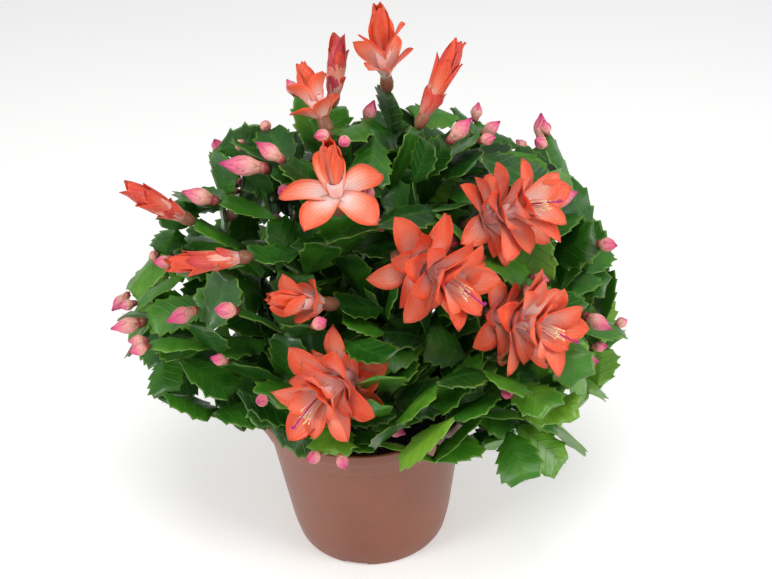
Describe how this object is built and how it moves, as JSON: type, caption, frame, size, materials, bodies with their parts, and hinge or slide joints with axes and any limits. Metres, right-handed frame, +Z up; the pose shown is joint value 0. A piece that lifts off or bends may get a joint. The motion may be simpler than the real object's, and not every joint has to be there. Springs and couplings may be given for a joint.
{
  "type": "potted christmas cactus",
  "caption": "Flowering Christmas cactus with arching chains of flat toothed stem segments, pink buds and coral flowers, rooted in peat in a round terracotta-coloured plastic pot.",
  "frame": {"origin": "on the ground, under the middle of the pot's base", "axes": "+Z up along the pot's axis; -Y towards the front, the side the plant leans and flowers to; +X to the right"},
  "size_m": [0.2903, 0.2361, 0.3215],
  "materials": {
    "pot": "satin",
    "soil": "rough dark peat",
    "stem": "smooth waxy green, a little glossy",
    "petal": "soft satin coral",
    "bud": "soft satin pink"
  },
  "bodies": {
    "root": {"bloom_bud_02": "bud", "bloom_bud_04": "bud", "bloom_bud_06": "bud", "bloom_bud_07": "bud", "flower_01": "petal", "flower_03": "petal", "flower_05": "petal", "flower_08": "petal", "flower_09": "petal", "flower_10": "petal", "flower_11": "petal", "flower_12": "petal", "pot": "pot", "shoot_01": "stem", "shoot_02": "stem", "shoot_03": "stem", "shoot_04": "stem", "shoot_05": "stem", "shoot_06": "stem", "shoot_07": "stem", "shoot_08": "stem", "shoot_09": "stem", "shoot_10": "stem", "shoot_11": "stem", "shoot_12": "stem", "shoot_13": "stem", "shoot_14": "stem", "shoot_15": "stem", "shoot_16": "stem", "shoot_17": "stem", "shoot_18": "stem", "shoot_19": "stem", "shoot_20": "stem", "shoot_21": "stem", "shoot_22": "stem", "shoot_23": "stem", "shoot_24": "stem", "shoot_25": "stem", "shoot_26": "stem", "shoot_27": "stem", "shoot_28": "stem", "shoot_29": "stem", "shoot_30": "stem", "shoot_31": "stem", "shoot_32": "stem", "shoot_33": "stem", "shoot_34": "stem", "shoot_35": "stem", "shoot_36": "stem", "shoot_37": "stem", "shoot_38": "stem", "shoot_39": "stem", "soil": "soil"}
  },
  "joints": []
}
